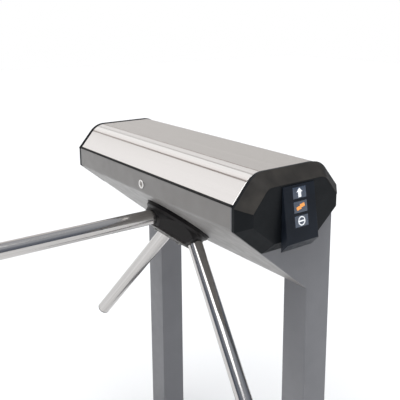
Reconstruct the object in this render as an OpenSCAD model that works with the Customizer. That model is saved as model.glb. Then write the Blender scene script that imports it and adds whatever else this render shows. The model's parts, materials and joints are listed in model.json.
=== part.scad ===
// Visitor counter turnstile: a long sheet-steel housing on two box columns,
// a hinged brushed cover, two black end caps with a display, and a three-arm hub
// that turns on a tilted shaft.

/* [Housing] */
// Length of the housing between its end faces
body_l = 700; // [560:5:1000]
// Depth of the housing from front to back
body_d = 294; // [270:1:360]
// Overall height of the turnstile
total_h = 1040; // [950:5:1150]
// Height of the upright front side, from the crease to the cover
side_h = 50; // [42:1:65]
// Height of the cover above the upright side
cover_h = 64; // [55:1:80]
// Distance over which the cover's front slope rises
cover_run = 54; // [40:1:66]
// Radius of the cover's two ridges
ridge_r = 52; // [20:1:60]
// Slope of the underside that carries the hub, from level
face_slope = 40; // [38:0.5:43]
// Thickness of the housing sheet
sheet_t = 2.5; // [2:0.5:4]
// Thickness of the cover sheet
cover_t = 1.5; // [1.2:0.1:2.5]

/* [Columns] */
// Width of each square column
leg_w = 75; // [60:1:90]
// Wall of each column
leg_t = 3; // [2:0.5:5]
// Width of each foot plate
foot_w = 120; // [100:1:150]
// Length of each foot plate
foot_l = 240; // [200:1:260]
// Thickness of each foot plate
foot_t = 8; // [6:1:12]
// Diameter of each anchor hole
anchor_d = 12; // [8:1:16]

/* [Hub and arms] */
// Place of the hub along the housing, from its middle
hub_x = -24; // [-40:1:0]
// Distance of the hub's axis from the crease, down the slope
hub_s = 155; // [150:1:165]
// Depth behind the sloping face of the point where the arm axes meet
apex_depth = 30; // [26:1:34]
// Radius of the hub's flange
hub_r = 92; // [84:1:96]
// Radial gap between the flange and the opening around it
hub_gap = 3; // [2:0.5:5]
// How far the flange stands out of the sloping face
flange_out = 15; // [10:1:20]
// Outer diameter of each arm
arm_d = 38; // [32:1:42]
// Wall of each arm tube
arm_t = 2; // [1.5:0.5:3]
// Length of each arm from the point where the axes meet
arm_len = 550; // [460:5:560]

/* [End caps] */
// Width of the straight lip of each cap
cap_lip = 9; // [6:1:14]
// Distance of the cap's front face from the housing
cap_out = 36; // [28:1:46]
// Inset of the cap's front face from its rim
cap_inset = 27; // [20:1:32]
// Distance of the display's lower edge from the housing
display_out = 57; // [50:1:70]
// Width of the display
display_w = 90; // [76:1:110]
// Depth of the cap below the crease
cap_drop = 62; // [50:1:80]
// Wall of the cap moulding
cap_t = 3; // [2:0.5:4]
// Width of a display tile
tile_w = 38; // [28:1:46]
// Height of a display tile
tile_h = 24; // [20:1:26]
// Distance from one tile to the next
tile_pitch = 30; // [28:0.5:32]

/* [Mechanism] */
// Diameter of the main shaft
shaft_d = 30; // [25:1:35]
// Radial play of a running fit
run_gap = 0.05; // [0.02:0.01:0.09]
// Gap between parts that pass each other
clear_gap = 0.5; // [0.3:0.1:1]
// Module of the gear teeth
gear_m = 2; // [1.5:0.5:2.5]
// Swing of each locking pawl
pawl_swing = 11; // [9:1:13]
// Diameter of the cover lock
lock_d = 21; // [18:1:25]

/* [Hidden] */
$fn = 64;
eps = 0.01;
hinge_r = 4;                                   // cover hinge knuckle
pin_r = 2;                                     // cover hinge pin
hub_tilt = 90 - face_slope;                    // hub axis below level
crease_z = total_h - side_h - cover_h;         // height of the crease above the floor
leg_y = body_d - leg_w;                        // front plane of the columns
floor_drop = leg_y * tan(face_slope);          // housing bottom below the crease
apex_y = hub_s * cos(face_slope) + apex_depth * cos(hub_tilt);
apex_z = -hub_s * sin(face_slope) + apex_depth * sin(hub_tilt);
front_y = -((apex_y - arm_len) + (body_d + 2 * hinge_r)) / 2;
end_t = 3;                                     // end plate
seam = 1.5;                                    // black joint between cover and cap
gasket_t = 4.5;                                // joint between housing and cover
gasket_in = 0.8;                               // the gasket's set-back from the front side
gasket_play = 0.6;                             // gap between the gasket and the cover
flange_w = 14;                                 // inward flange at the housing's top
face_z = apex_depth;                           // sloping face, along the hub axis
flange_z = face_z + flange_out;                // top of the flange
hub_back = 5;                                  // back of the hub
nose_z = 77;                                   // flat nose of the hub
nose_r = 53;                                   // distance of the nose's sides from the axis
nose_t = 4;                                    // nose plate
arm_root = 42;                                 // start of each arm along its own axis
arm_fit = 0.3;                                 // slip of the arm in its socket
socket_end = 97;                               // mouth of each socket along the arm
plate_z = -16;                                 // back of the mechanism plate
plate_t = 6;                                   // mechanism plate
plate_w = 290;
plate_h = 190;
bearing_d = 62;                                // bearing outside diameter
bearing_b = 16;                                // bearing width
tube_d = bearing_d + 14;                       // bearing housing
tube_end = plate_z - 68;                       // back end of the bearing housing
disc_z = tube_end - 16;                        // lock disc, its back face
disc_t = 10;
disc_r = 70;
notch_w = 13;                                  // notches that the pawls drop into
notch_h = 10;
gear_z = disc_z - 18;                          // gears, their back face
gear_t = 12;
code_z = gear_z - 10;                          // encoder disc
code_t = 2;
code_r = 44;
shaft_end = code_z - 10;
drive_teeth = 54;                              // the turning ratios rest on these three
crank_teeth = 18;
damper_teeth = 15;
drive_r = gear_m * drive_teeth / 2;
crank_r = gear_m * crank_teeth / 2;
damper_r = gear_m * damper_teeth / 2;
crank_x = drive_r + crank_r;
damper_x = -(drive_r + damper_r);
crank_pin_r = 11;                              // throw of the crank pin
crank_pin_d = 5;
bracket_t = 3;                                 // plate between lock disc and gears
bracket_z = disc_z - 1.5;                      // front face of that plate
bracket_w = 300;
post_d = 8;                                    // pin that the crank gear turns on
spring_y = -62;                                // fixed end of the centring spring
spring_z = gear_z - 7;                         // the spring's level
pawl_arm = 60;                                 // pivot to nose
pawl_t = 8;
pawl_z = disc_z + 1;                           // back face of the pawls
nose_level = disc_r + 6;                       // nose centre from the shaft, engaged
pawl_tail = 32;                                // pivot to the tail pin
pawl_pin_d = 8;
tail_pin_d = 5;
plunger_d = 10;
plunger_z = pawl_z + pawl_t + 5.6;             // plunger's axis
stroke = pawl_tail * pawl_swing * PI / 180;    // pull of each plunger
lock_x = -4;                                   // cover lock, along the housing
lock_z = 21;                                   // cover lock, above the crease
display_gap = 0.3;                             // joint between display and cap
foot_edge = 18;                                // anchor holes from the plate's long edges
foot_end = 20;                                 // anchor holes from the plate's short edges
through = 1;                                   // run-out of each cut past a face
key_af = 6;                                    // square at the lock plug's end
leaf_t = 2;                                    // hinge leaf sheet
board_t = 1.6;                                 // circuit board
spacer_d = 6;                                  // board spacers
spacer_l = 10;
plug_deep = 18;                                // arm plug inside the tube
plug_head = 3;                                 // arm plug's cap

// ---------- shared shapes ----------

// Housing coordinates: Y from the front side, Z from the crease.
module place() { translate([0, front_y, crease_z]) children(); }

// Hub coordinates: Z along the hub axis, outwards; Y up the slope.
module hub_frame() {
    place() translate([hub_x, apex_y, apex_z]) rotate([90 + hub_tilt, 0, 0]) children();
}

// Extrudes a Y-Z outline along X, from x0 over a length.
module along_x(x0, length) {
    translate([x0, 0, 0]) rotate([90, 0, 90]) linear_extrude(length) children();
}

// Mirrors a right-hand piece to the left when side is -1.
module at_side(side) { mirror([side < 0 ? 1 : 0, 0, 0]) children(); }

// Points of an arc from angle a0 to a1.
function arc(c, r, a0, a1, n = 8) =
    [for (k = [0:n]) c + r * [cos(a0 + (a1 - a0) * k / n), sin(a0 + (a1 - a0) * k / n)]];

chamfer_a = atan(cover_run / cover_h);         // cover slope, from upright
top_z = side_h + cover_h;

// The front ridge, inset by i: an arc tangent to the slope and to the top.
function ridge(i) =
    let (r = max(ridge_r - i, 2), turn = 90 - chamfer_a,
         y = cover_run + i * tan(turn / 2) + r * tan(turn / 2), z = top_z - i)
    arc([y, z - r], r, 180 - chamfer_a, 90);

// The cover's outline from the front edge to the back edge, inset by i, from height z0.
function cover_path(i, z0) =
    let (foot_y = i / cos(chamfer_a) + (z0 - side_h) * tan(chamfer_a), front = ridge(i))
    concat([[foot_y, z0]], front,
        [for (k = [len(front) - 1:-1:0]) [body_d - front[k][0], front[k][1]]],
        [[body_d - foot_y, z0]]);

// The cap's outline, inset by i.
function cap_path(i) =
    let (low = i * tan(hub_tilt / 2), high = side_h - i * tan(chamfer_a / 2), front = ridge(i),
         run = cap_drop / tan(face_slope), bottom_y = run + i * tan(face_slope / 2),
         drop = -cap_drop + i)
    concat([[bottom_y, drop], [i, low], [i, high]], front,
        [for (k = [len(front) - 1:-1:0]) [body_d - front[k][0], front[k][1]]],
        [[body_d - i, high], [body_d - i, low], [body_d - bottom_y, drop]]);

// The housing's outline below the cover, inset by i, up to a height.
function body_path(i, top = side_h) =
    let (low = i * tan(hub_tilt / 2), run = leg_y + i * tan(face_slope / 2))
    [[i, top], [i, low], [run, -floor_drop + i], [body_d - i, -floor_drop + i],
     [body_d - i, top]];

// A screw with a domed head: the head's seat at z = 0, the shank below it.
module screw(d, length, head_d, head_h) {
    translate([0, 0, -length]) cylinder(d = d, h = length);
    difference() {
        cylinder(d = head_d, h = head_h);
        translate([0, 0, head_h / 2]) cylinder(d = head_d / 2, h = head_h, $fn = 6);
    }
}

// A spur gear of straight-flanked teeth, with a bore.
module gear(teeth, m, thick, bore) {
    pitch_r = m * teeth / 2;
    step = 360 / teeth;
    difference() {
        linear_extrude(thick) union() {
            circle(r = pitch_r - 1.1 * m);
            for (k = [0:teeth - 1]) rotate(k * step) polygon([
                [pitch_r - 1.4 * m, -0.95 * m], [pitch_r - 1.4 * m, 0.95 * m],
                [pitch_r, 0.62 * m], [pitch_r + 0.8 * m, 0.3 * m],
                [pitch_r + 0.8 * m, -0.3 * m], [pitch_r, -0.62 * m]]);
        }
        translate([0, 0, -1]) cylinder(r = bore, h = thick + 2);
    }
}

// ---------- columns and feet ----------

leg_x = body_l / 2 - leg_w / 2;

module leg(side) {
    color("#7f858c") at_side(side) place() translate([leg_x, leg_y + leg_w / 2, 0])
        translate([0, 0, foot_t - crease_z]) linear_extrude(crease_z - foot_t - floor_drop)
            difference() {
                square(leg_w, center = true);
                square(leg_w - 2 * leg_t, center = true);
            }
}
module left_leg() { leg(-1); }
module right_leg() { leg(1); }

foot_y = body_d - foot_l / 2;                  // centre of each foot plate
anchor_dx = foot_w - 2 * foot_edge;
anchor_dy = foot_l - 2 * foot_end;

module foot(side) {
    color("#7f858c") at_side(side) place() translate([leg_x, foot_y, -crease_z]) difference() {
        translate([-foot_w / 2, -foot_l / 2, 0]) cube([foot_w, foot_l, foot_t]);
        for (x = [-1, 1], y = [-1, 1]) translate([x * anchor_dx / 2, y * anchor_dy / 2, -through])
            cylinder(d = anchor_d, h = foot_t + 2 * through);
    }
}
module left_foot() { foot(-1); }
module right_foot() { foot(1); }

// ---------- housing ----------

module hub_opening() {
    hub_frame() translate([0, 0, face_z - sheet_t - hub_r / 4])
        cylinder(r = hub_r + hub_gap, h = hub_r / 2);
}

module housing_shell() {
    inner_l = body_l - 2 * end_t;
    color("#9b9a97") difference() {
        place() union() {
            along_x(-inner_l / 2, inner_l) difference() {
                polygon(body_path(0));
                polygon(body_path(sheet_t, side_h + through));
            }
            for (y = [sheet_t, body_d - sheet_t - flange_w])
                translate([-inner_l / 2, y, side_h - sheet_t]) cube([inner_l, flange_w, sheet_t]);
        }
        hub_opening();
        place() translate([lock_x, -through, lock_z]) rotate([-90, 0, 0])
            cylinder(d = lock_d, h = sheet_t + 2 * through);
    }
}

// End of the housing, with an opening for the display's cable.
module end_plate(side) {
    service = [90, 60];
    color("#7f858c") at_side(side) place() difference() {
        along_x(body_l / 2 - end_t, end_t) polygon(body_path(0));
        along_x(body_l / 2 - end_t - through, end_t + 2 * through)
            translate([body_d / 2, -service[1] / 10]) square(service, center = true);
    }
}
module left_end_plate() { end_plate(-1); }
module right_end_plate() { end_plate(1); }

// A black joint that runs round the top of the housing.
module cover_gasket() {
    color("#141414") place() for (y = [gasket_in, body_d - flange_w])
        translate([-body_l / 2 + seam, y, side_h])
            cube([body_l - 2 * seam, flange_w - gasket_in, gasket_t - gasket_play]);
}

// ---------- cover and its hinge ----------

cover_z = side_h + gasket_t;                   // lower edge of the cover
hinge_y = body_d + hinge_r;
hinge_z = cover_z;
hinge_x = 190;                                 // each hinge, from the middle
hinge_w = 60;
knuckle_w = 20;
leaf_low = 34;                                 // leaf's lower edge below the pin
leaf_top = 6;                                  // leaf's upper edge below the pin
flap_l = 26;                                   // flap up the cover's slope
flap_gap = 0.2;                                // flap off the cover's sheet

module cover_outline(i, low = 0) {
    polygon(cover_path(i, cover_z - low));
}

module top_cover() {
    cover_l = body_l - 2 * seam;
    color("#d2d0cd") place() union() {
        along_x(-cover_l / 2, cover_l) difference() {
            cover_outline(0);
            cover_outline(cover_t, through);
        }
        for (x = [-cover_l / 2, cover_l / 2 - cover_t]) along_x(x, cover_t) cover_outline(0);
    }
}

// Leaf on the housing's back, with the middle knuckle of each hinge.
module hinge_leaf() {
    color("#6d7074") place() for (s = [-1, 1]) translate([s * hinge_x, 0, 0]) difference() {
        union() {
            translate([-knuckle_w / 2 + clear_gap, hinge_y, hinge_z]) rotate([0, 90, 0])
                cylinder(r = hinge_r, h = knuckle_w - 2 * clear_gap);
            translate([-knuckle_w / 2 + clear_gap, body_d, hinge_z - knuckle_w])
                cube([knuckle_w - 2 * clear_gap, leaf_t, knuckle_w]);
            translate([-hinge_w / 2, body_d, hinge_z - leaf_low])
                cube([hinge_w, leaf_t, leaf_low - leaf_top]);
        }
        translate([-hinge_w / 2, hinge_y, hinge_z]) rotate([0, 90, 0])
            cylinder(r = pin_r + run_gap, h = hinge_w);
    }
}

module hinge_pin() {
    color("#9a9a9a") place() for (s = [-1, 1])
        translate([s * hinge_x - hinge_w / 2, hinge_y, hinge_z]) rotate([0, 90, 0])
            cylinder(r = pin_r, h = hinge_w);
}

// Flap on the cover's back slope, with the outer knuckles of each hinge.
module hinge_flap() {
    color("#b9b9b9") place() for (s = [-1, 1], k = [-1, 1])
        translate([s * hinge_x + k * (hinge_w + knuckle_w) / 4, 0, 0]) difference() {
            union() {
                translate([-knuckle_w / 2, hinge_y, hinge_z]) rotate([0, 90, 0])
                    cylinder(r = hinge_r, h = knuckle_w);
                translate([-knuckle_w / 2, body_d, hinge_z]) rotate([chamfer_a, 0, 0])
                    translate([0, flap_gap, leaf_t]) cube([knuckle_w, leaf_t, flap_l]);
                translate([-knuckle_w / 2, body_d + flap_gap, hinge_z])
                    cube([knuckle_w, hinge_r - 1, hinge_r]);
            }
            translate([-knuckle_w / 2 - through, hinge_y, hinge_z]) rotate([0, 90, 0])
                cylinder(r = pin_r + run_gap, h = knuckle_w + 2 * through);
        }
}

// ---------- cover lock ----------

plug_d = 13;
lock_deep = 22;                                // barrel behind the sheet's face
lock_rim = 2;                                  // rim outside the sheet
lock_nut_t = 5;
plug_out = 1.4;                                // plug's face outside the sheet
key_slot = [1.6, 8];
cam = [34, 16, 2.5];

module lock_frame() {
    place() translate([lock_x, 0, lock_z]) rotate([90, 0, 0]) children();
}

// Barrel with a rim outside the sheet.
module lock_body() {
    color("#a9abad") lock_frame() difference() {
        union() {
            translate([0, 0, -lock_deep]) cylinder(d = lock_d - 2 * clear_gap, h = lock_deep);
            cylinder(d = lock_d + lock_rim, h = lock_rim);
        }
        translate([0, 0, -lock_deep - through])
            cylinder(d = plug_d + 2 * run_gap, h = lock_deep + lock_rim + 2 * through);
    }
}

// Turning plug with its key slot, and the square that carries the cam.
module lock_plug() {
    color("#c4c6c8") lock_frame() difference() {
        union() {
            translate([0, 0, -lock_deep]) cylinder(d = plug_d, h = lock_deep + plug_out);
            translate([-key_af / 2, -key_af / 2, -lock_deep - key_af])
                cube([key_af, key_af, key_af + through]);
        }
        translate([-key_slot[0] / 2, -key_slot[1] / 2, -key_slot[1] / 2])
            cube([key_slot[0], key_slot[1], key_slot[1]]);
    }
}

module lock_nut() {
    color("#777777") lock_frame() translate([0, 0, -sheet_t - lock_nut_t]) difference() {
        cylinder(d = lock_d * 1.4, h = lock_nut_t, $fn = 6);
        translate([0, 0, -through])
            cylinder(d = lock_d - 2 * clear_gap + 2 * run_gap, h = lock_nut_t + 2 * through);
    }
}

module lock_cam() {
    hole = key_af + 2 * run_gap;
    color("#8a8a8a") lock_frame() translate([0, 0, -lock_deep - key_af + 1]) difference() {
        translate([-cam[1] / 2, -cam[1] / 2, 0]) cube(cam);
        translate([-hole / 2, -hole / 2, -through]) cube([hole, hole, cam[2] + 2 * through]);
    }
}

// ---------- end caps ----------

cap_x = body_l / 2;
face_x = cap_x + cap_out;
visor_t = 1.5;

module cap_block(i, x0, x1, x2) {
    hull() {
        along_x(x0, x1 - x0) polygon(cap_path(i));
        along_x(x2 - eps, eps) polygon(cap_path(i + cap_inset));
    }
}

module cap(side) {
    color("#2b2d30") at_side(side) place() difference() {
        cap_block(0, cap_x, cap_x + cap_lip, face_x);
        cap_block(cap_t, cap_x - through, cap_x + cap_lip, face_x - cap_t);
    }
}
module left_cap() { cap(-1); }
module right_cap() { cap(1); }

// Band over the cap's upper slopes, down to the top of its upright sides.
module visor(side) {
    fold = cap_lip * tan(chamfer_a / 2);       // fall of the lower edge over the lip's width
    color("#6b6762") at_side(side) place() difference() {
        cap_block(-visor_t, cap_x + cap_lip, cap_x + cap_lip + eps, face_x);
        cap_block(-2 * eps, cap_x, cap_x + cap_lip, face_x);
        translate([0, body_d + 10, 0]) rotate([90, 0, 0]) linear_extrude(body_d + 20)
            polygon([[cap_x, -2 * cap_drop], [cap_x, side_h + fold],
                [cap_x + cap_lip, side_h], [face_x, side_h - cap_inset * fold / cap_lip],
                [face_x + 10, side_h - (cap_inset + 10) * fold / cap_lip],
                [face_x + 10, -2 * cap_drop]]);
    }
}
module left_visor() { visor(-1); }
module right_visor() { visor(1); }

display_top = top_z - cap_inset - 4;           // upper edge of the display
display_low = -36;                             // lower edge of the display's face
display_foot = -58;                            // where its underside meets the cap
display_y = body_d / 2 - display_w / 2;
display_step = 2.5;                            // thickness at the display's upper edge
display_back = face_x + display_gap;
display_a = atan((cap_x + display_out - display_back - display_step) / (display_top - display_low));

module display_outline() {
    polygon([[display_back, display_top], [display_back + display_step, display_top],
        [cap_x + display_out, display_low], [display_back, display_foot]]);
}

// Coordinates on the display's face: X along its width, Y up, Z outwards.
module on_display() {
    translate([display_back + display_step, body_d / 2, display_top]) rotate([0, -display_a, 0])
        rotate([90, 0, 90]) children();
}

tile_top = 5;                                  // first tile below the display's edge
tile_in = 1.2;                                 // depth of each tile's recess
tile_gap = 0.2;                                // joint round each tile

module tile_shape(grow) {
    for (k = [0:2]) translate([0, -tile_top - tile_h / 2 - k * tile_pitch])
        square([tile_w + 2 * grow, tile_h + 2 * grow], center = true);
}

// Wedge that stands out of the cap's face and carries the tiles.
module display(side) {
    color("#2f343a") at_side(side) place() difference() {
        translate([0, display_y + display_w, 0]) rotate([90, 0, 0])
            linear_extrude(display_w) display_outline();
        on_display() translate([0, 0, -tile_in]) linear_extrude(2 * display_step) tile_shape(tile_gap);
    }
}
module left_display() { display(-1); }
module right_display() { display(1); }

module tiles(side) {
    color("#5a6b7c") at_side(side) place() on_display() translate([0, 0, -tile_in])
        linear_extrude(tile_in - tile_gap) tile_shape(0);
}
module left_tiles() { tiles(-1); }
module right_tiles() { tiles(1); }

// Lamp board behind the cap's face.
module display_board(side) {
    size = [board_t, 70, 84];
    low = -20;
    gap = 4.4;
    color("#1f5c3a") at_side(side) place() translate([face_x - cap_t - gap, body_d / 2, low]) {
        translate([-board_t, -size[1] / 2, 0]) cube(size);
        for (y = [-1, 1], z = [8, size[2] - 8]) translate([0, y * (size[1] / 2 - 7), z])
            rotate([0, 90, 0]) cylinder(d = spacer_d, h = gap);
    }
}
module left_display_board() { display_board(-1); }
module right_display_board() { display_board(1); }

// Screws through each end plate into the cap, seated on the plate's inside.
module cap_screws() {
    head = [8, 3];
    color("#8c8c8c") for (side = [-1, 1], y = [40, body_d - 40]) at_side(side) place()
        translate([cap_x - end_t - head[1], y, side_h * 0.4]) rotate([0, 90, 0])
            cylinder(d = head[0], h = head[1], $fn = 6);
}

// ---------- hub and arms ----------

// Coordinates of arm k: Z along the arm, from the point where the axes meet.
module arm_frame(k) { rotate([0, 0, 120 * k]) rotate([-hub_tilt, 0, 0]) children(); }

grub_r = 56;                                   // each grub screw from the hub's axis
grub_d = 8;
nose_screw_r = 40;
nose_screw = [6, 19];                          // diameter and length
flange_screw_r = 34;
flange_screw = [8, 28];
shaft_flange_r = 45;
shaft_flange_t = 8;
rim_bevel = 6;                                 // bevel round the hub's flange
nose_corner = 59;                              // nose plate's short sides from the axis

// Places a child between each pair of arms, at radius r and height z.
module between_arms(r, z) {
    for (k = [0:2]) rotate([0, 0, 30 + 120 * k]) translate([r, 0, z]) children();
}

// Round flange, three flat sides between the arms and a flat mouth round each arm.
module hub_body() {
    side = 300;
    color("#242527") hub_frame() difference() {
        union() {
            translate([0, 0, hub_back]) cylinder(r = hub_r, h = flange_z - hub_back - rim_bevel);
            translate([0, 0, flange_z - rim_bevel])
                cylinder(r1 = hub_r, r2 = hub_r - rim_bevel, h = rim_bevel);
            difference() {
                translate([0, 0, flange_z - 1])
                    cylinder(r = hub_r - rim_bevel, h = nose_z - flange_z + 1);
                for (k = [0:2]) rotate([0, 0, 30 + 120 * k]) translate([nose_r, 0, nose_z])
                    rotate([0, -45, 0]) translate([0, -side / 2, -side / 2]) cube(side);
                for (k = [0:2]) arm_frame(k) translate([-side / 2, -side / 2, socket_end])
                    cube(side);
            }
        }
        for (k = [0:2]) arm_frame(k) translate([0, 0, arm_root - 1])
            cylinder(d = arm_d + 2 * arm_fit, h = side);
        for (k = [0:2]) rotate([0, 0, 120 * k]) translate([0, grub_r, 0])
            cylinder(d = grub_d, h = apex_depth + 10);
        between_arms(nose_screw_r, nose_z - nose_screw[1] + nose_t - 1)
            cylinder(d = nose_screw[0], h = nose_screw[1]);
        between_arms(flange_screw_r, 0) cylinder(d = flange_screw[0], h = flange_screw[1] - 2);
    }
}

module nose_plate() {
    color("#2e3033") hub_frame() difference() {
        translate([0, 0, nose_z]) linear_extrude(nose_t) intersection() {
            rotate(90) circle(r = 2 * (nose_r - 1), $fn = 3);
            rotate(30) circle(r = 2 * nose_corner, $fn = 3);
        }
        between_arms(nose_screw_r, nose_z - through)
            cylinder(d = nose_screw[0] * 1.1, h = nose_t + 2 * through);
    }
}

module nose_screws() {
    color("#909294") hub_frame() between_arms(nose_screw_r, nose_z + nose_t)
        screw(nose_screw[0], nose_screw[1], 10, 3);
}

module arm(k) {
    color("#c9c9c8") hub_frame() difference() {
        arm_frame(k) translate([0, 0, arm_root]) difference() {
            cylinder(d = arm_d, h = arm_len - arm_root - plug_head);
            translate([0, 0, -through]) cylinder(d = arm_d - 2 * arm_t, h = arm_len);
        }
        rotate([0, 0, 120 * k]) translate([0, grub_r, 0])
            cylinder(d = grub_d + 2 * run_gap, h = apex_depth);
    }
}
module arm_1() { arm(0); }
module arm_2() { arm(1); }
module arm_3() { arm(2); }

module arm_plugs() {
    color("#1d1d1f") hub_frame() for (k = [0:2]) arm_frame(k)
        translate([0, 0, arm_len - plug_head]) {
            cylinder(d = arm_d, h = plug_head);
            translate([0, 0, -plug_deep])
                cylinder(d = arm_d - 2 * arm_t - 2 * run_gap, h = plug_deep + through);
        }
}

// Grub screws from the hub's back into each arm.
module arm_pins() {
    color("#77797b") hub_frame() for (k = [0:2]) rotate([0, 0, 120 * k])
        translate([0, grub_r, hub_back + 1]) cylinder(d = grub_d - 2 * run_gap, h = 20);
}

// ---------- shaft and what it carries ----------

module main_shaft() {
    color("#a9abad") hub_frame() difference() {
        union() {
            translate([0, 0, hub_back - shaft_flange_t]) cylinder(r = shaft_flange_r, h = shaft_flange_t);
            translate([0, 0, shaft_end]) cylinder(d = shaft_d, h = hub_back - shaft_end);
        }
        between_arms(flange_screw_r, -shaft_flange_t)
            cylinder(d = flange_screw[0] * 1.1, h = 2 * shaft_flange_t);
    }
}

module shaft_screws() {
    color("#6d6f71") hub_frame() between_arms(flange_screw_r, hub_back - shaft_flange_t)
        rotate([180, 0, 0]) screw(flange_screw[0], flange_screw[1], 13, 4);
}

module lock_disc() {
    color("#8f9193") hub_frame() translate([0, 0, disc_z]) difference() {
        cylinder(r = disc_r, h = disc_t);
        translate([0, 0, -through]) cylinder(d = shaft_d, h = disc_t + 2 * through);
        for (k = [0:11]) rotate(30 * k) translate([disc_r - notch_h, -notch_w / 2, -through])
            cube([2 * notch_h, notch_w, disc_t + 2 * through]);
    }
}

module drive_gear() {
    color("#b8a878") hub_frame() translate([0, 0, gear_z])
        gear(drive_teeth, gear_m, gear_t, shaft_d / 2);
}

// Slotted disc that gives the counter its pulses.
module encoder_disc() {
    slot_w = 6;
    color("#33363a") hub_frame() translate([0, 0, code_z]) difference() {
        union() {
            cylinder(r = code_r, h = code_t);
            cylinder(r = shaft_d / 2 + 5, h = 3 * code_t);
        }
        translate([0, 0, -through]) cylinder(d = shaft_d, h = 4 * code_t);
        for (k = [0:11]) rotate(30 * k) translate([code_r - 2 * slot_w + 2, -slot_w / 2, -through])
            cube([slot_w, slot_w, code_t + 2 * through]);
    }
}

module shaft_nut() {
    nut_t = 7;
    color("#7d7f81") hub_frame() translate([0, 0, code_z - nut_t]) difference() {
        cylinder(d = shaft_d * 1.6, h = nut_t, $fn = 6);
        translate([0, 0, -through]) cylinder(d = shaft_d, h = nut_t + 2 * through);
    }
}

// ---------- plate and bearings ----------

post_x = plate_w / 2 - 18;
post_hi = 78;                                  // upper posts from the hub's axis
post_lo = -90;                                 // lower posts
stud_d = 8;
nut_h = 6.5;

module at_posts() {
    for (x = [-post_x, post_x], y = [post_lo, post_hi]) translate([x, y, 0]) children();
}

module mechanism_plate() {
    color("#86898c") hub_frame() difference() {
        translate([-plate_w / 2, post_lo - 14, plate_z]) cube([plate_w, plate_h, plate_t]);
        translate([0, 0, plate_z - through]) cylinder(d = tube_d, h = plate_t + 2 * through);
        at_posts() translate([0, 0, plate_z - through])
            cylinder(d = stud_d + 0.4, h = plate_t + 2 * through);
    }
}

// Studs welded to the inside of the sloping face.
module plate_posts() {
    color("#6f7275") hub_frame() at_posts() {
        translate([0, 0, plate_z + plate_t])
            cylinder(d = stud_d + 6, h = face_z - sheet_t - plate_z - plate_t);
        translate([0, 0, plate_z - 2 * nut_h + 1])
            cylinder(d = stud_d, h = 2 * nut_h + plate_t);
    }
}

module plate_nuts() {
    color("#8c8c8c") hub_frame() at_posts() translate([0, 0, plate_z - nut_h]) difference() {
        cylinder(d = 15, h = nut_h, $fn = 6);
        translate([0, 0, -through]) cylinder(d = stud_d + 2 * run_gap, h = nut_h + 2 * through);
    }
}

module bearing_housing() {
    collar_t = 8;
    color("#77797c") hub_frame() difference() {
        union() {
            translate([0, 0, tube_end]) cylinder(d = tube_d, h = plate_z + plate_t - tube_end);
            translate([0, 0, plate_z - collar_t]) cylinder(d = tube_d + 40, h = collar_t);
        }
        translate([0, 0, tube_end - through])
            cylinder(d = bearing_d, h = plate_z + plate_t - tube_end + 2 * through);
    }
}

module bearing(z) {
    color("#b4b6b8") hub_frame() translate([0, 0, z]) rotate_extrude() difference() {
        translate([shaft_d / 2 + run_gap, 0])
            square([(bearing_d - shaft_d) / 2 - 2 * run_gap, bearing_b]);
        for (y = [-1, bearing_b - 1]) translate([shaft_d / 2 + 5, y]) square([6, 2]);
    }
}
module front_bearing() { bearing(plate_z + plate_t - bearing_b - 2); }
module rear_bearing() { bearing(tube_end + 2); }

// ---------- bracket, gears and damper ----------

bracket_posts = [[-135, -60], [135, -60], [-60, 80], [60, 80]];

module gear_bracket() {
    color("#8a8d90") hub_frame() {
        difference() {
            translate([-bracket_w / 2, -76, bracket_z - bracket_t]) cube([bracket_w, 166, bracket_t]);
            translate([0, 0, bracket_z - 10]) cylinder(r = 22, h = 20);
        }
        for (p = bracket_posts) translate([p[0], p[1], bracket_z])
            cylinder(d = 8, h = plate_z - bracket_z);
        translate([crank_x, 0, gear_z - 2]) cylinder(d = post_d, h = bracket_z - gear_z + 2);
        translate([crank_x, spring_y, spring_z - 3]) cylinder(d = 5, h = bracket_z - spring_z + 2);
        for (s = [-1, 1]) at_side(s) pawl_place(0) translate([0, 0, bracket_z - 1])
            cylinder(d = pawl_pin_d, h = pawl_z + pawl_t + 2 - bracket_z);
        for (s = [-1, 1]) translate([damper_x, s * 28, gear_z - 4])
            cylinder(d = 7, h = bracket_z - gear_z + 3);
    }
}

module crank_gear() {
    color("#c9b98c") hub_frame() translate([crank_x, 0, gear_z]) {
        rotate(180 / crank_teeth) gear(crank_teeth, gear_m, gear_t, post_d / 2 + run_gap);
        translate([0, -crank_pin_r, -9]) cylinder(d = crank_pin_d, h = 10);
    }
}

module damper_gear() {
    color("#3a3c3f") hub_frame() translate([damper_x, 0, gear_z]) {
        rotate(180 / damper_teeth) gear(damper_teeth, gear_m, gear_t, 2.5);
        translate([0, 0, -16]) cylinder(d = 6, h = 16 + gear_t);
    }
}

module damper_body() {
    color("#232527") hub_frame() translate([damper_x, 0, gear_z - 4]) difference() {
        union() {
            translate([0, 0, -18]) cylinder(r = 17, h = 18);
            translate([-6, -34, -3]) cube([12, 68, 3]);
        }
        translate([0, 0, -14]) cylinder(r = 3 + run_gap, h = 20);
    }
}

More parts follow.
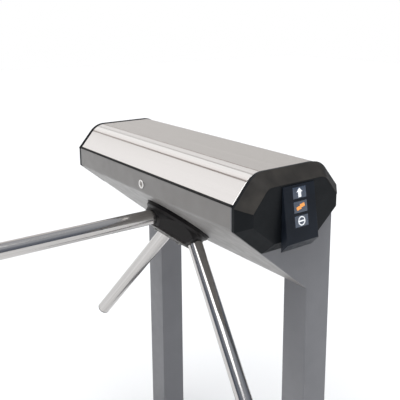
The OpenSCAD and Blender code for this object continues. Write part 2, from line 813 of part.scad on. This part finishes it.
// Close-wound spring from the crank pin to the fixed post.
module centring_spring() {
    wire = 1.8;
    coil_r = 4;
    eye = crank_pin_d / 2 + clear_gap;
    y0 = -crank_pin_r - eye - wire - 1;
    y1 = spring_y + eye + wire + 1;
    turns = round((y0 - y1) / (wire * 0.9));
    color("#b0b2b4") hub_frame() translate([crank_x, 0, spring_z]) {
        for (k = [0:turns]) translate([0, y1 + (y0 - y1) * k / turns, 0]) rotate([90, 0, 0])
            rotate_extrude($fn = 24) translate([coil_r, 0]) circle(d = wire, $fn = 14);
        for (y = [-crank_pin_r, spring_y]) translate([0, y, 0]) rotate_extrude($fn = 24)
            translate([eye + wire / 2, 0]) circle(d = wire, $fn = 14);
        for (y = [y0, y1 - wire]) translate([-0.8, y, -coil_r - 0.4]) cube([1.6, wire, coil_r + 0.8]);
    }
}

// ---------- locking pawls and solenoids ----------

nose_a = 60;                                   // the nose's place round the shaft

// Coordinates of a pawl: X from its pivot to its nose when engaged, turned by a.
module pawl_place(a) {
    rotate(nose_a) translate([nose_level, -pawl_arm, 0]) rotate(90 + a) children();
}

module pawl(side) {
    color("#8d7f5e") hub_frame() at_side(side) pawl_place(-pawl_swing)
        translate([0, 0, pawl_z]) difference() {
            union() {
                linear_extrude(pawl_t) polygon([[-pawl_tail - 4, -4], [-pawl_tail - 4, 4], [0, 9],
                    [pawl_arm + 5, 5], [pawl_arm + 5, -2], [pawl_arm, -6], [0, -9]]);
                cylinder(r = 10, h = pawl_t);
                translate([pawl_arm - 4.5, -2, 0]) cube([9, 15, pawl_t]);
                translate([-pawl_tail, 0, 0]) cylinder(d = tail_pin_d, h = pawl_t + 5);
            }
            translate([0, 0, -1]) cylinder(d = pawl_pin_d + 2 * run_gap, h = pawl_t + 2);
        }
}
module left_pawl() { pawl(-1); }
module right_pawl() { pawl(1); }

coil_start = 20;                               // solenoid's face from the tail pin
coil_l = 40;
coil_w = 28;

// Coordinates of a plunger: Y along its pull, from the tail pin at rest.
module plunger_place() {
    pawl_place(0) translate([-pawl_tail, stroke, 0]) rotate(180) children();
}

module solenoids() {
    color("#2f3c50") hub_frame() for (s = [-1, 1]) at_side(s) plunger_place() difference() {
        translate([-coil_w / 2, coil_start, bracket_z])
            cube([coil_w, coil_l, plunger_z - bracket_z + coil_w / 2]);
        translate([0, coil_start - 1, plunger_z]) rotate([-90, 0, 0])
            cylinder(d = plunger_d + 0.4, h = coil_l - 4);
    }
}

// Its eye takes the pawl's tail pin and stays clear of the coil at full pull.
module plunger(side) {
    eye_end = 6;
    color("#9c9ea0") hub_frame() at_side(side) plunger_place() difference() {
        union() {
            translate([0, plunger_d, plunger_z]) rotate([-90, 0, 0])
                cylinder(d = plunger_d, h = coil_start + 12);
            translate([-plunger_d / 2, -eye_end, plunger_z - 4.8])
                cube([plunger_d, eye_end + coil_start - stroke - 1, 3]);
        }
        translate([0, 0, plunger_z - 8]) cylinder(d = tail_pin_d + 2, h = 10);
    }
}
module left_plunger() { plunger(-1); }
module right_plunger() { plunger(1); }

// ---------- electronics ----------

// Reads the slots of the encoder disc; it stands on the gear bracket.
module sensor_board() {
    color("#1f5c3a") hub_frame() {
        translate([-20, code_r + 4, code_z - 2]) cube([40, 30, board_t]);
        for (x = [-14, 14]) translate([x, code_r + 26, code_z - 0.4])
            cylinder(d = spacer_d, h = bracket_z - bracket_t - code_z + 0.4);
        translate([-6, code_r - 6, code_z - 6]) cube([12, 12, 3.4]);
        translate([-6, code_r + 2, code_z - 4]) cube([12, 4, 4]);
    }
}

// Board on the housing's back, with its relay, terminals and counter.
module control_board() {
    size = [130, 110];
    corner = [-body_l / 2 + 40, body_d - sheet_t - spacer_l, -90];
    color("#1f5c3a") place() translate(corner) {
        translate([0, -board_t, 0]) cube([size[0], board_t, size[1]]);
        for (x = [6, size[0] - 6], z = [6, size[1] - 6])
            translate([x, 0, z]) rotate([-90, 0, 0]) cylinder(d = spacer_d, h = spacer_l);
        translate([20, -15, 30]) cube([34, 14, 34]);
        translate([10, -17, 4]) cube([110, 16, 12]);
        translate([74, -13, 40]) cube([30, 12, 40]);
    }
}

module power_supply() {
    size = [120, leg_w - sheet_t - 18, 92];
    color("#b5b7b9") place() translate([body_l / 2 - 50 - size[0], leg_y + 8, -floor_drop + sheet_t])
        cube(size);
}

// ---------- what is drawn ----------

left_leg();
right_leg();
left_foot();
right_foot();
housing_shell();
left_end_plate();
right_end_plate();
cover_gasket();
top_cover();
hinge_leaf();
hinge_pin();
hinge_flap();
lock_body();
lock_plug();
lock_nut();
lock_cam();
left_cap();
right_cap();
left_visor();
right_visor();
left_display();
right_display();
left_tiles();
right_tiles();
left_display_board();
right_display_board();
cap_screws();
hub_body();
nose_plate();
nose_screws();
arm_1();
arm_2();
arm_3();
arm_plugs();
arm_pins();
main_shaft();
shaft_screws();
mechanism_plate();
plate_posts();
plate_nuts();
bearing_housing();
front_bearing();
rear_bearing();
lock_disc();
drive_gear();
encoder_disc();
shaft_nut();
crank_gear();
damper_gear();
damper_body();
centring_spring();
gear_bracket();
left_pawl();
right_pawl();
solenoids();
left_plunger();
right_plunger();
sensor_board();
control_board();
power_supply();
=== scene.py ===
import json
from math import cos, pi, radians, sin

import bmesh
import bpy
from mathutils import Matrix, Vector


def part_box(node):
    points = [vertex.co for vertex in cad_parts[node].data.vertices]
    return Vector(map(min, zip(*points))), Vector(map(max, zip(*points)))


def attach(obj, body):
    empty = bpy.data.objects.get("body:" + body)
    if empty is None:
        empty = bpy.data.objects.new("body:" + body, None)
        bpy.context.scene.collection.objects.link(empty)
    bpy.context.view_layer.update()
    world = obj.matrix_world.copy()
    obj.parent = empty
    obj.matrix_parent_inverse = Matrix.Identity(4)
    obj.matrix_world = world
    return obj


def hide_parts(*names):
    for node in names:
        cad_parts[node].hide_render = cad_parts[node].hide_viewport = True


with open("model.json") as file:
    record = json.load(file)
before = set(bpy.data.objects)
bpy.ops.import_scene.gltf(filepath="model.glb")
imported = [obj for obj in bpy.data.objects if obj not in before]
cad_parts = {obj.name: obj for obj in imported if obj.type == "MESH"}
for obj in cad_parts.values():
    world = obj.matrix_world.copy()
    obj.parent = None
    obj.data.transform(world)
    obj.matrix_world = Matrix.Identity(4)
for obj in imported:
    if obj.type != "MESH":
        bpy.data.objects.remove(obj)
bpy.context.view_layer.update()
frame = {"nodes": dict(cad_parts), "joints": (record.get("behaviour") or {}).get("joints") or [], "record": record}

MM = 0.001
nodes = frame["nodes"]
body_of_node = {
    node: body for body, members in frame["record"]["behaviour"]["bodies"].items() for node in members
}


# ---------- small tools ----------

def colour(hex_code):
    """A linear RGBA colour from an sRGB hex value."""
    channels = [int(hex_code[i:i + 2], 16) / 255 for i in (1, 3, 5)]
    linear = [c / 12.92 if c <= 0.04045 else ((c + 0.055) / 1.055) ** 2.4 for c in channels]
    return (*linear, 1.0)


def add(material, kind, settings=None, **links):
    """Adds a node to a material, with its settings, socket values and links."""
    node = material.node_tree.nodes.new(kind)
    for key, value in (settings or {}).items():
        setattr(node, key, value)
    for key, value in links.items():
        socket = node.inputs[int(key[1:]) if key[0] == "i" and key[1:].isdigit() else key.replace("_", " ")]
        if isinstance(value, bpy.types.NodeSocket):
            material.node_tree.links.new(value, socket)
        else:
            socket.default_value = value
    return node


def new_material(name):
    """An empty node material, with its shader joined to its output."""
    material = bpy.data.materials.new(name)
    material.use_nodes = True
    material.node_tree.nodes.clear()
    shader = add(material, "ShaderNodeBsdfPrincipled")
    add(material, "ShaderNodeOutputMaterial", Surface=shader.outputs["BSDF"])
    return material, shader


def join(material, output, shader, name):
    """Links an output to one of the shader's sockets."""
    material.node_tree.links.new(output, shader.inputs[name])


def ramp(material, factor, stops):
    """A colour ramp with these (place, hex colour) stops."""
    node = add(material, "ShaderNodeValToRGB", Fac=factor)
    elements = node.color_ramp.elements
    while len(elements) < len(stops):
        elements.new(0.5)
    for element, (place, shade) in zip(elements, stops):
        element.position = place
        element.color = colour(shade)
    return node.outputs["Color"]


def spread(material, factor, low, high, start=0.35, end=0.65):
    """A number from low to high as factor goes from start to end."""
    node = add(material, "ShaderNodeMapRange", Value=factor, From_Min=start, From_Max=end,
               To_Min=low, To_Max=high)
    return node.outputs["Result"]


def noise(material, size_mm, detail=3.0, vector=None):
    """Noise on Object coordinates whose largest spots are about size_mm across."""
    place = vector or add(material, "ShaderNodeTexCoord").outputs["Object"]
    node = add(material, "ShaderNodeTexNoise", Vector=place, Scale=1 / (size_mm * MM), Detail=detail)
    return node.outputs["Fac"]


def relief(material, shader, height, depth_mm, strength=1.0):
    """Puts a height pattern of this depth on the shader's normal."""
    node = add(material, "ShaderNodeBump", Height=height, Distance=depth_mm * MM, Strength=strength)
    join(material, node.outputs["Normal"], shader, "Normal")


def set_shader(shader, base=None, **values):
    """Sets the shader's own sockets."""
    if base:
        shader.inputs["Base Color"].default_value = colour(base)
    for key, value in values.items():
        shader.inputs[key.replace("_", " ")].default_value = value


# ---------- finishes ----------

def powder_coat(name, base, dark, light):
    """Textured polyester powder coat on sheet steel: a fine orange peel that breaks up its
    low sheen, and faint handling marks."""
    material, shader = new_material(name)
    set_shader(shader, Roughness=0.42, IOR=1.5, Coat_Weight=0.12, Coat_Roughness=0.3)
    cloud = noise(material, 160, 4)
    join(material, ramp(material, cloud, [(0.3, dark), (0.5, base), (0.7, light)]), shader, "Base Color")
    # The real peel is about 1 mm across; 2.2 mm is as fine as shows.
    peel = noise(material, 2.2, 2)
    join(material, spread(material, noise(material, 30, 5), 0.36, 0.5), shader, "Roughness")
    relief(material, shader, peel, 0.05, 0.6)
    return material


def brushed_steel(name, base, light, turn, along, across, rough, depth):
    """Brushed stainless steel: hairlines drawn along the piece's length, which smear its
    reflections across them. turn brings the length onto the pattern's X axis."""
    material, shader = new_material(name)
    set_shader(shader, Metallic=1.0, Anisotropic=0.35)
    place = add(material, "ShaderNodeTexCoord").outputs["Object"]
    turned = add(material, "ShaderNodeMapping", Vector=place, Rotation=turn).outputs["Vector"]
    # Real hairlines are about 0.1 mm apart; they are drawn as wide as shows.
    lines = add(material, "ShaderNodeMapping", Vector=turned, Scale=(across / along, 1, 1)).outputs["Vector"]
    fine = noise(material, across, 3, lines)
    broad = noise(material, across * 9, 2, lines)
    grain = add(material, "ShaderNodeMix", {"data_type": "FLOAT"}, Factor=0.35, i2=fine, i3=broad).outputs[0]
    join(material, ramp(material, grain, [(0.35, base), (0.65, light)]), shader, "Base Color")
    join(material, spread(material, grain, rough[0], rough[1]), shader, "Roughness")
    relief(material, shader, fine, depth, 0.5)
    return material


def moulded_plastic(name, base, light, rough=0.38, grain_mm=1.2, depth=0.03, shine=0.3):
    """Injection-moulded ABS: an even colour, a fine spark-eroded grain and a satin sheen."""
    material, shader = new_material(name)
    set_shader(shader, IOR=1.53, Specular_IOR_Level=shine)
    cloud = noise(material, 60, 3)
    join(material, ramp(material, cloud, [(0.35, base), (0.65, light)]), shader, "Base Color")
    join(material, spread(material, noise(material, 12, 4), rough - 0.05, rough + 0.07), shader, "Roughness")
    relief(material, shader, noise(material, grain_mm, 2), depth, 0.5)
    return material


def machined_metal(name, base, light, rough=0.32, ring_mm=1.5, grain=0.02):
    """Turned or milled metal: faint tool marks and small changes of shine."""
    material, shader = new_material(name)
    set_shader(shader, Metallic=1.0)
    marks = noise(material, ring_mm, 4)
    join(material, ramp(material, noise(material, 22, 4), [(0.35, base), (0.65, light)]), shader, "Base Color")
    join(material, spread(material, marks, rough - 0.07, rough + 0.1), shader, "Roughness")
    relief(material, shader, marks, grain, 0.5)
    return material


housing_paint = powder_coat("light grey powder coat", "#7f7c79", "#7b7875", "#83807d")
# The end plates, columns and feet get a darker, cooler copy of the housing's grey: painted shade that stands in
# for the bluish shade on these faces.
column_paint_painted_shade = powder_coat("grey powder coat on the columns", "#77777a", "#737376", "#7b7b7e")
cover_steel = brushed_steel(
    "brushed stainless sheet", "#dad8d6", "#e2e0de", (0, 0, 0), 600, 1.8, (0.1, 0.16), 0.003,
)
black_enamel = moulded_plastic("black textured enamel on cast iron", "#120f0f", "#171413", 0.42, 1.6, 0.04, 0.2)
nose_enamel = moulded_plastic("black enamel on plate", "#3c3937", "#464340", 0.4, 1.6, 0.03, 0.25)
cap_abs = moulded_plastic("black moulded ABS", "#101316", "#15181b", 0.42, 1.4, 0.03, 0.12)
visor_abs = moulded_plastic("brown-grey grained ABS", "#2c2a28", "#3c3935", 0.5, 2.6, 0.2, 0.15)
display_abs = moulded_plastic("blue-grey moulded ABS", "#161b23", "#1b212a", 0.38, 1.4, 0.02, 0.15)
board_laminate = moulded_plastic("green solder mask", "#17452b", "#1d5535", 0.3, 3, 0.02)
rubber = moulded_plastic("black EPDM rubber", "#0d0d0d", "#131313", 0.62, 1.2, 0.03)
plug_plastic = moulded_plastic("black polyethylene plug", "#141415", "#1a1a1c", 0.45)
coil_wrap = moulded_plastic("blue coil wrapping", "#1f2c42", "#28384f", 0.3, 4, 0.03)
chrome = machined_metal("chromed zinc", "#cbc8c5", "#d8d6d3", 0.14, 3, 0.004)
# The key plug gets a much darker copy of the chrome: painted shade that dims the plug's reflections of the bright
# floor.
plug_chrome_painted_shade = machined_metal("shaded chrome on the key plug", "#8f8b86", "#9c9893", 0.26, 2, 0.01)
zinc = machined_metal("zinc-plated steel", "#a3a49f", "#bcbcb6", 0.34, 1.6)
turned_steel = machined_metal("turned steel", "#9b9d9f", "#b6b8ba", 0.26, 1.2)
cast_metal = machined_metal("cast aluminium", "#85888b", "#9a9d9f", 0.48, 2.2, 0.12)
brass = machined_metal("hobbed brass", "#ab8a4b", "#c3a261", 0.27, 1.4)
case_metal = machined_metal("folded aluminium case", "#a9abad", "#bfc1c3", 0.38, 2.4)
amber_print = moulded_plastic("amber screen print", "#f0a55a", "#f6b069", 0.4, 3, 0.0)
white_print = moulded_plastic("white screen print", "#e9edf0", "#f2f4f6", 0.4, 3, 0.0)
# The inks get a faint emission: a painted glow that brightens the printed signs.
for ink, hex_code, painted_glow in ((amber_print, "#ff9a3c", 0.35), (white_print, "#ffffff", 0.3)):
    for node in ink.node_tree.nodes:
        if node.type == "BSDF_PRINCIPLED":
            set_shader(node, Emission_Color=colour(hex_code), Emission_Strength=painted_glow)


def tile_glaze():
    """Smoked polycarbonate over a lamp: blue-grey, glossy, slightly cloudy."""
    material, shader = new_material("smoked polycarbonate lens")
    set_shader(shader, Roughness=0.14, IOR=1.58, Coat_Weight=0.5, Coat_Roughness=0.06)
    cloud = noise(material, 9, 3)
    join(material, ramp(material, cloud, [(0.3, "#2e3b4e"), (0.7, "#3d4c60")]), shader, "Base Color")
    join(material, spread(material, noise(material, 4, 2), 0.1, 0.2), shader, "Roughness")
    return material


tile_lens = tile_glaze()

# ---------- the hub's axes ----------

joint = {j["name"]: j for j in frame["joints"]}
hub_joint = joint["hub_spin"]
hub_axis = Vector(hub_joint["axis"]).normalized()
if hub_axis.y > 0:
    hub_axis = -hub_axis
barrier = Vector((0, -1, 0))
arm_way = {
    f"arm_{k + 1}": Matrix.Rotation(radians(120 * k), 3, hub_axis) @ barrier for k in range(3)
}


def onto_x(way):
    """The turn that brings this direction onto the X axis, as Euler angles."""
    return way.rotation_difference(Vector((1, 0, 0))).to_euler("XYZ")


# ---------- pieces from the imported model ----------

def merged_copy(*names):
    """One bmesh of these nodes, with their loose triangles joined into whole faces."""
    bm = bmesh.new()
    for name in names:
        bm.from_mesh(nodes[name].data)
    bmesh.ops.remove_doubles(bm, verts=bm.verts, dist=0.005 * MM)
    bmesh.ops.dissolve_limit(bm, angle_limit=radians(0.4), verts=bm.verts, edges=bm.edges)
    return bm


def round_edges(bm, radius, keep=None, least=24, segments=3):
    """Bevels the edges that turn by more than least degrees and that keep accepts."""
    edges = [
        e for e in bm.edges
        if len(e.link_faces) == 2 and e.calc_face_angle(0) > radians(least) and (keep is None or keep(e))
    ]
    bmesh.ops.bevel(
        bm, geom=edges, offset=radius * MM, offset_type="OFFSET", affect="EDGES",
        segments=segments, profile=0.5, material=-1, clamp_overlap=True,
    )


def piece(bm, name, material, body, stands_for=(), sharp=28):
    """Makes a bmesh into a piece that rides a body and stands for these nodes."""
    mesh = bpy.data.meshes.new(name)
    bm.to_mesh(mesh)
    bm.free()
    mesh.shade_smooth()
    mesh.set_sharp_from_angle(angle=radians(sharp))
    mesh.materials.append(material)
    made = bpy.data.objects.new(name, mesh)
    bpy.context.scene.collection.objects.link(made)
    even = made.modifiers.new("even shading on flat faces", "WEIGHTED_NORMAL")
    even.keep_sharp = True
    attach(made, body)
    if stands_for:
        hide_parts(*stands_for)
    return made


def from_node(name, material, radius=0.0, keep=None, segments=3, least=24):
    """A finished copy of one node, with its edges rounded."""
    bm = merged_copy(name)
    if radius:
        round_edges(bm, radius, keep, least, segments)
    return piece(bm, name.replace("_", "-"), material, body_of_node[name], [name])


def along(edge, axis):
    """How long the edge is along an axis, if it is parallel to it."""
    run = edge.verts[1].co - edge.verts[0].co
    return abs(run[axis]) if run.length and abs(run[axis]) / run.length > 0.999 else 0.0


def longer(millimetres):
    """Accepts edges longer than this."""
    return lambda edge: edge.calc_length() > millimetres * MM


# Housing: the folds of the sheet have a soft outer radius, and the welded end plates are
# dressed to the same shape.
shell_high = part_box("housing_shell")[1]
plate_low, plate_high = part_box("right_end_plate")
end_x = plate_high.x
fold_radius = 5      # mm, outside of a fold
edge_radius = 2.4    # mm, dressed weld
floor_radius = 1.2   # mm, folds of the housing's floor
long_run = 0.3       # m, edges that run the housing's or a column's length
bottom_z = plate_low.z


def at_a_fold(edge, top):
    """Whether the edge's height is that of a fold in the housing's sides."""
    return bottom_z + 20 * MM < edge.verts[0].co.z < top - 10 * MM


shell = merged_copy("housing_shell")
round_edges(shell, fold_radius, lambda e: along(e, 0) > long_run and at_a_fold(e, shell_high.z), segments=5)
round_edges(shell, floor_radius, lambda e: along(e, 0) > long_run and e.verts[0].co.z < bottom_z + MM,
            segments=2, least=60)
piece(shell, "housing-shell", housing_paint, "stand", ["housing_shell"])

for side in ("left", "right"):
    name = side + "_end_plate"
    plate = merged_copy(name)
    round_edges(plate, fold_radius, lambda e: along(e, 0) > 0 and at_a_fold(e, plate_high.z)
                and e.verts[0].co.y < plate_low.y + MM, segments=5)
    round_edges(plate, edge_radius, lambda e: all(abs(v.co.x) > end_x - 0.1 * MM for v in e.verts)
                and max(v.co.z for v in e.verts) > bottom_z + MM, segments=3, least=60)
    piece(plate, side + "-end-plate", column_paint_painted_shade, "stand", [name])
    from_node(side + "_leg", column_paint_painted_shade, edge_radius, lambda e: along(e, 2) > long_run)
    from_node(side + "_foot", column_paint_painted_shade, 1.5, longer(30), 2, 60)
    from_node(side + "_cap", cap_abs, 0.9, None, 2)
    from_node(side + "_visor", visor_abs, 0.5, None, 2)
    from_node(side + "_display", display_abs, 1.2, longer(45))
    from_node(side + "_tiles", tile_lens, 0.3, None, 2)

# Cover: bent stainless sheet, with its end walls folded down and dressed.
from_node("top_cover", cover_steel, 0.7, None, 2)

# Hub and arms.
from_node("hub_body", black_enamel, 0.8, None, 2)
from_node("nose_plate", nose_enamel, 0.7, None, 2)
for name, way in arm_way.items():
    tube_steel = brushed_steel(
        f"brushed stainless tube, {name.replace('_', ' ')}", "#b4b1ae", "#cdcac8", onto_x(way), 300, 1.6,
        (0.1, 0.2), 0.004,
    )
    from_node(name, tube_steel)

# The rest keep their shape and get their finish.
plain_pieces = [
    (rubber, "gasket", 0.4, ["cover_gasket"]),
    (zinc, "hinge_steel", 0.3, ["hinge_leaf", "hinge_flap"]),
    (turned_steel, "hinge_steel", 0.0, ["hinge_pin"]),
    (chrome, "lock_chrome", 0.4, ["lock_body"]),
    (plug_chrome_painted_shade, "lock_chrome", 0.2, ["lock_plug"]),
    (zinc, "zinc_steel", 0.0, ["lock_nut", "lock_cam", "nose_screws", "cap_screws", "arm_pins", "shaft_screws",
                               "plate_nuts", "plate_posts", "mechanism_plate", "gear_bracket"]),
    (turned_steel, "machined_steel", 0.0, ["main_shaft", "front_bearing", "rear_bearing", "lock_disc", "shaft_nut",
                                           "centring_spring", "left_pawl", "right_pawl", "left_plunger",
                                           "right_plunger"]),
    (cast_metal, "cast_housing", 0.8, ["bearing_housing"]),
    (brass, "gear_brass", 0.0, ["drive_gear", "crank_gear"]),
    (plug_plastic, "plug_plastic", 0.0, ["arm_plugs", "encoder_disc", "damper_gear", "damper_body"]),
    (coil_wrap, "solenoid_blue", 0.8, ["solenoids"]),
    (board_laminate, "board_green", 0.0, ["left_display_board", "right_display_board", "sensor_board",
                                          "control_board"]),
    (case_metal, "supply_case", 1.0, ["power_supply"]),
]
for material, slot, radius, names in plain_pieces:
    for name in names:
        from_node(name, material, radius, None, 2, 50)

# ---------- black strips between the cover and the caps, painted shade for the gap ---

cover_low, cover_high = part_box("top_cover")
shade_strip_width = 1.2     # mm, width of the black strip
shade_strip_gap = 0.15  # mm, between it and the cover
for sign, side in ((-1, "left"), (1, "right")):
    # The cover's end wall gives the outline; a slice of it is moved out into the joint as a black rubber strip,
    # which paints the shade of the gap there.
    painted_shade_strip = merged_copy("top_cover")
    wall_x = sign * (cover_high.x - shade_strip_width * MM)
    bmesh.ops.bisect_plane(
        painted_shade_strip, geom=painted_shade_strip.verts[:] + painted_shade_strip.edges[:] + painted_shade_strip.faces[:], plane_co=(wall_x, 0, 0),
        plane_no=(sign, 0, 0), clear_inner=True,
    )
    open_edges = [e for e in painted_shade_strip.edges if e.is_boundary]
    bmesh.ops.holes_fill(painted_shade_strip, edges=open_edges)
    bmesh.ops.recalc_face_normals(painted_shade_strip, faces=painted_shade_strip.faces)
    middle = Vector((0, (cover_low.y + cover_high.y) / 2, (cover_low.z + cover_high.z) / 2))
    bmesh.ops.scale(painted_shade_strip, verts=painted_shade_strip.verts, vec=(1, 0.992, 0.97), space=Matrix.Translation(-middle))
    bmesh.ops.translate(painted_shade_strip, verts=painted_shade_strip.verts, vec=(sign * (shade_strip_width + shade_strip_gap) * MM, 0, 0))
    piece(painted_shade_strip, side + "-seal", rubber, "stand")

# ---------- signs printed on the display's lenses ----------

print_t = 0.12  # mm, thickness of the ink


def raised(bm, flat_faces):
    """Gives flat shapes their thickness."""
    grown = bmesh.ops.extrude_face_region(bm, geom=flat_faces)
    moved = [v for v in grown["geom"] if isinstance(v, bmesh.types.BMVert)]
    bmesh.ops.translate(bm, verts=moved, vec=(0, 0, print_t))
    bmesh.ops.recalc_face_normals(bm, faces=bm.faces)


def outline(bm, points):
    """A flat face with these corners, in mm."""
    return bm.faces.new([bm.verts.new((x, y, 0)) for x, y in points])


def arrow_sign():
    """A broad arrow that points up."""
    bm = bmesh.new()
    half, head, stem, tall = 8.5, 1.0, 4.2, 10.0
    outline(bm, [
        (-stem, -tall), (stem, -tall), (stem, head), (half, head), (0, tall), (-half, head), (-stem, head),
    ])
    raised(bm, bm.faces[:])
    return bm


def ticket_sign():
    """A ticket held by its corner, tilted."""
    bm = bmesh.new()
    outline(bm, [(-12, -5), (1, -5), (1, -2.5), (12, -2.5), (12, 5), (-1, 5), (-1, 2.5), (-12, 2.5)])
    bmesh.ops.rotate(bm, verts=bm.verts, matrix=Matrix.Rotation(radians(12), 3, "Z"))
    raised(bm, bm.faces[:])
    return bm


def no_entry_sign():
    """A ring with a bar across it."""
    bm = bmesh.new()
    outer, inner, bar = 10.0, 7.6, 1.5
    for radius in (outer, inner):
        bmesh.ops.create_circle(bm, segments=40, radius=radius)
    bmesh.ops.bridge_loops(bm, edges=bm.edges[:])
    raised(bm, bm.faces[:])
    bars = bmesh.ops.create_cube(bm, size=1)["verts"]
    bmesh.ops.scale(bm, verts=bars, vec=(2 * inner, 2 * bar, print_t))
    bmesh.ops.translate(bm, verts=bars, vec=(0, 0, print_t / 2))
    return bm


signs = [("arrow", arrow_sign, white_print), ("ticket", ticket_sign, amber_print),
         ("no-entry", no_entry_sign, white_print)]
for sign, side in ((-1, "left"), (1, "right")):
    lens = merged_copy(side + "_tiles")
    fronts = sorted((f for f in lens.faces if f.normal.x * sign > 0.7), key=lambda f: -f.calc_center_median().z)
    for (word, shape, ink), face in zip(signs, fronts):
        across = Vector((0, sign, 0))
        rise = face.normal.cross(across)
        turn = Matrix((across, rise, face.normal)).transposed().to_4x4()
        bm = shape()
        bmesh.ops.scale(bm, verts=bm.verts, vec=(MM, MM, MM))
        bmesh.ops.transform(bm, matrix=Matrix.Translation(face.calc_center_median()) @ turn, verts=bm.verts)
        piece(bm, f"{side}-{word}-sign", ink, "stand")
    lens.free()

# ---------- floor, light and camera ----------

floor_material, floor_shader = new_material("pale matt floor")
set_shader(floor_shader, "#f4f4f3", Roughness=0.7, Specular_IOR_Level=0.2)
relief(floor_material, floor_shader, noise(floor_material, 25, 2), 0.1, 0.2)
floor_half = 14  # m
floor_bm = bmesh.new()
bmesh.ops.create_grid(floor_bm, x_segments=1, y_segments=1, size=floor_half)
floor_mesh = bpy.data.meshes.new("floor")
floor_bm.to_mesh(floor_mesh)
floor_bm.free()
floor_mesh.materials.append(floor_material)
floor = bpy.data.objects.new("floor", floor_mesh)
bpy.context.scene.collection.objects.link(floor)

# The studio round the object. Long strip boxes run beside the housing on its far end's side,
# and give the cover's bent ridges their light and dark lines.
strip_boxes = [
    # height angle from the back horizon, over the top, to the front horizon; shade
    (0, "#b9b6b4"), (24, "#c6c3c1"), (27, "#efedec"), (29, "#8a807a"), (34, "#8a807a"), (37, "#e6e4e3"),
    (66, "#efeded"), (69, "#b6b2b0"), (73, "#b6b2b0"), (75, "#ffffff"), (111, "#fbf7f6"), (113, "#877d77"),
    (119, "#877d77"), (121, "#fdfbfb"), (146, "#fdfbfb"), (156, "#77736f"), (180, "#6a6663"),
]
world = bpy.data.worlds.new("studio")
world.use_nodes = True
world.node_tree.nodes.clear()
bpy.context.scene.world = world
way = add(world, "ShaderNodeTexCoord").outputs["Generated"]
parts = add(world, "ShaderNodeSeparateXYZ", Vector=way).outputs
turn_round = add(world, "ShaderNodeMath", {"operation": "ARCTAN2"}, i0=parts["Z"], i1=parts["Y"])
half_turn = add(world, "ShaderNodeMath", {"operation": "DIVIDE"}, i0=turn_round.outputs["Value"], i1=pi)
strips = ramp(world, half_turn.outputs["Value"], [(angle / 180, shade) for angle, shade in strip_boxes])
# Towards the near end the studio is a dim, cool room.
room = ramp(world, parts["Z"], [(0.0, "#4c525e"), (0.35, "#737985"), (1.0, "#b9bcc1")])
to_far_end = add(
    world, "ShaderNodeMapRange", Value=parts["X"], From_Min=-0.62, From_Max=-0.5, To_Min=1, To_Max=0,
).outputs["Result"]
surround = add(world, "ShaderNodeMix", {"data_type": "RGBA"}, i0=to_far_end, i6=room, i7=strips).outputs[2]
lit = add(world, "ShaderNodeBackground", Color=surround, Strength=1.15)
# The floor fades into a plain white backdrop.
plain = add(world, "ShaderNodeBackground", Color=colour("#ffffff"), Strength=1.0)
seen = add(world, "ShaderNodeLightPath").outputs["Is Camera Ray"]
both = add(world, "ShaderNodeMixShader", i0=seen, i1=lit.outputs["Background"], i2=plain.outputs["Background"])
add(world, "ShaderNodeOutputWorld", Surface=both.outputs["Shader"])


# One very soft light from overhead, a little in front.
overhead = bpy.data.lights.new("overhead light", "SUN")
overhead.energy = 2.5
overhead.angle = radians(60)
lamp = bpy.data.objects.new("overhead light", overhead)
lamp.rotation_euler = Vector((-0.15, 0.3, -1)).to_track_quat("-Z", "Y").to_euler()
bpy.context.scene.collection.objects.link(lamp)

azimuth = radians(37.3)
pitch = radians(11.5)
camera_data = bpy.data.cameras.new("camera")
camera_data.lens = 54.7
camera_data.shift_x = -0.05
camera_data.shift_y = -0.15
camera = bpy.data.objects.new("camera", camera_data)
camera.location = (1.255, -0.663, 1.349)  # m
view_way = Vector((-cos(azimuth) * cos(pitch), sin(azimuth) * cos(pitch), -sin(pitch)))
camera.rotation_euler = view_way.to_track_quat("-Z", "Y").to_euler()
bpy.context.scene.collection.objects.link(camera)
bpy.context.scene.camera = camera
bpy.context.scene.view_settings.view_transform = "Standard"
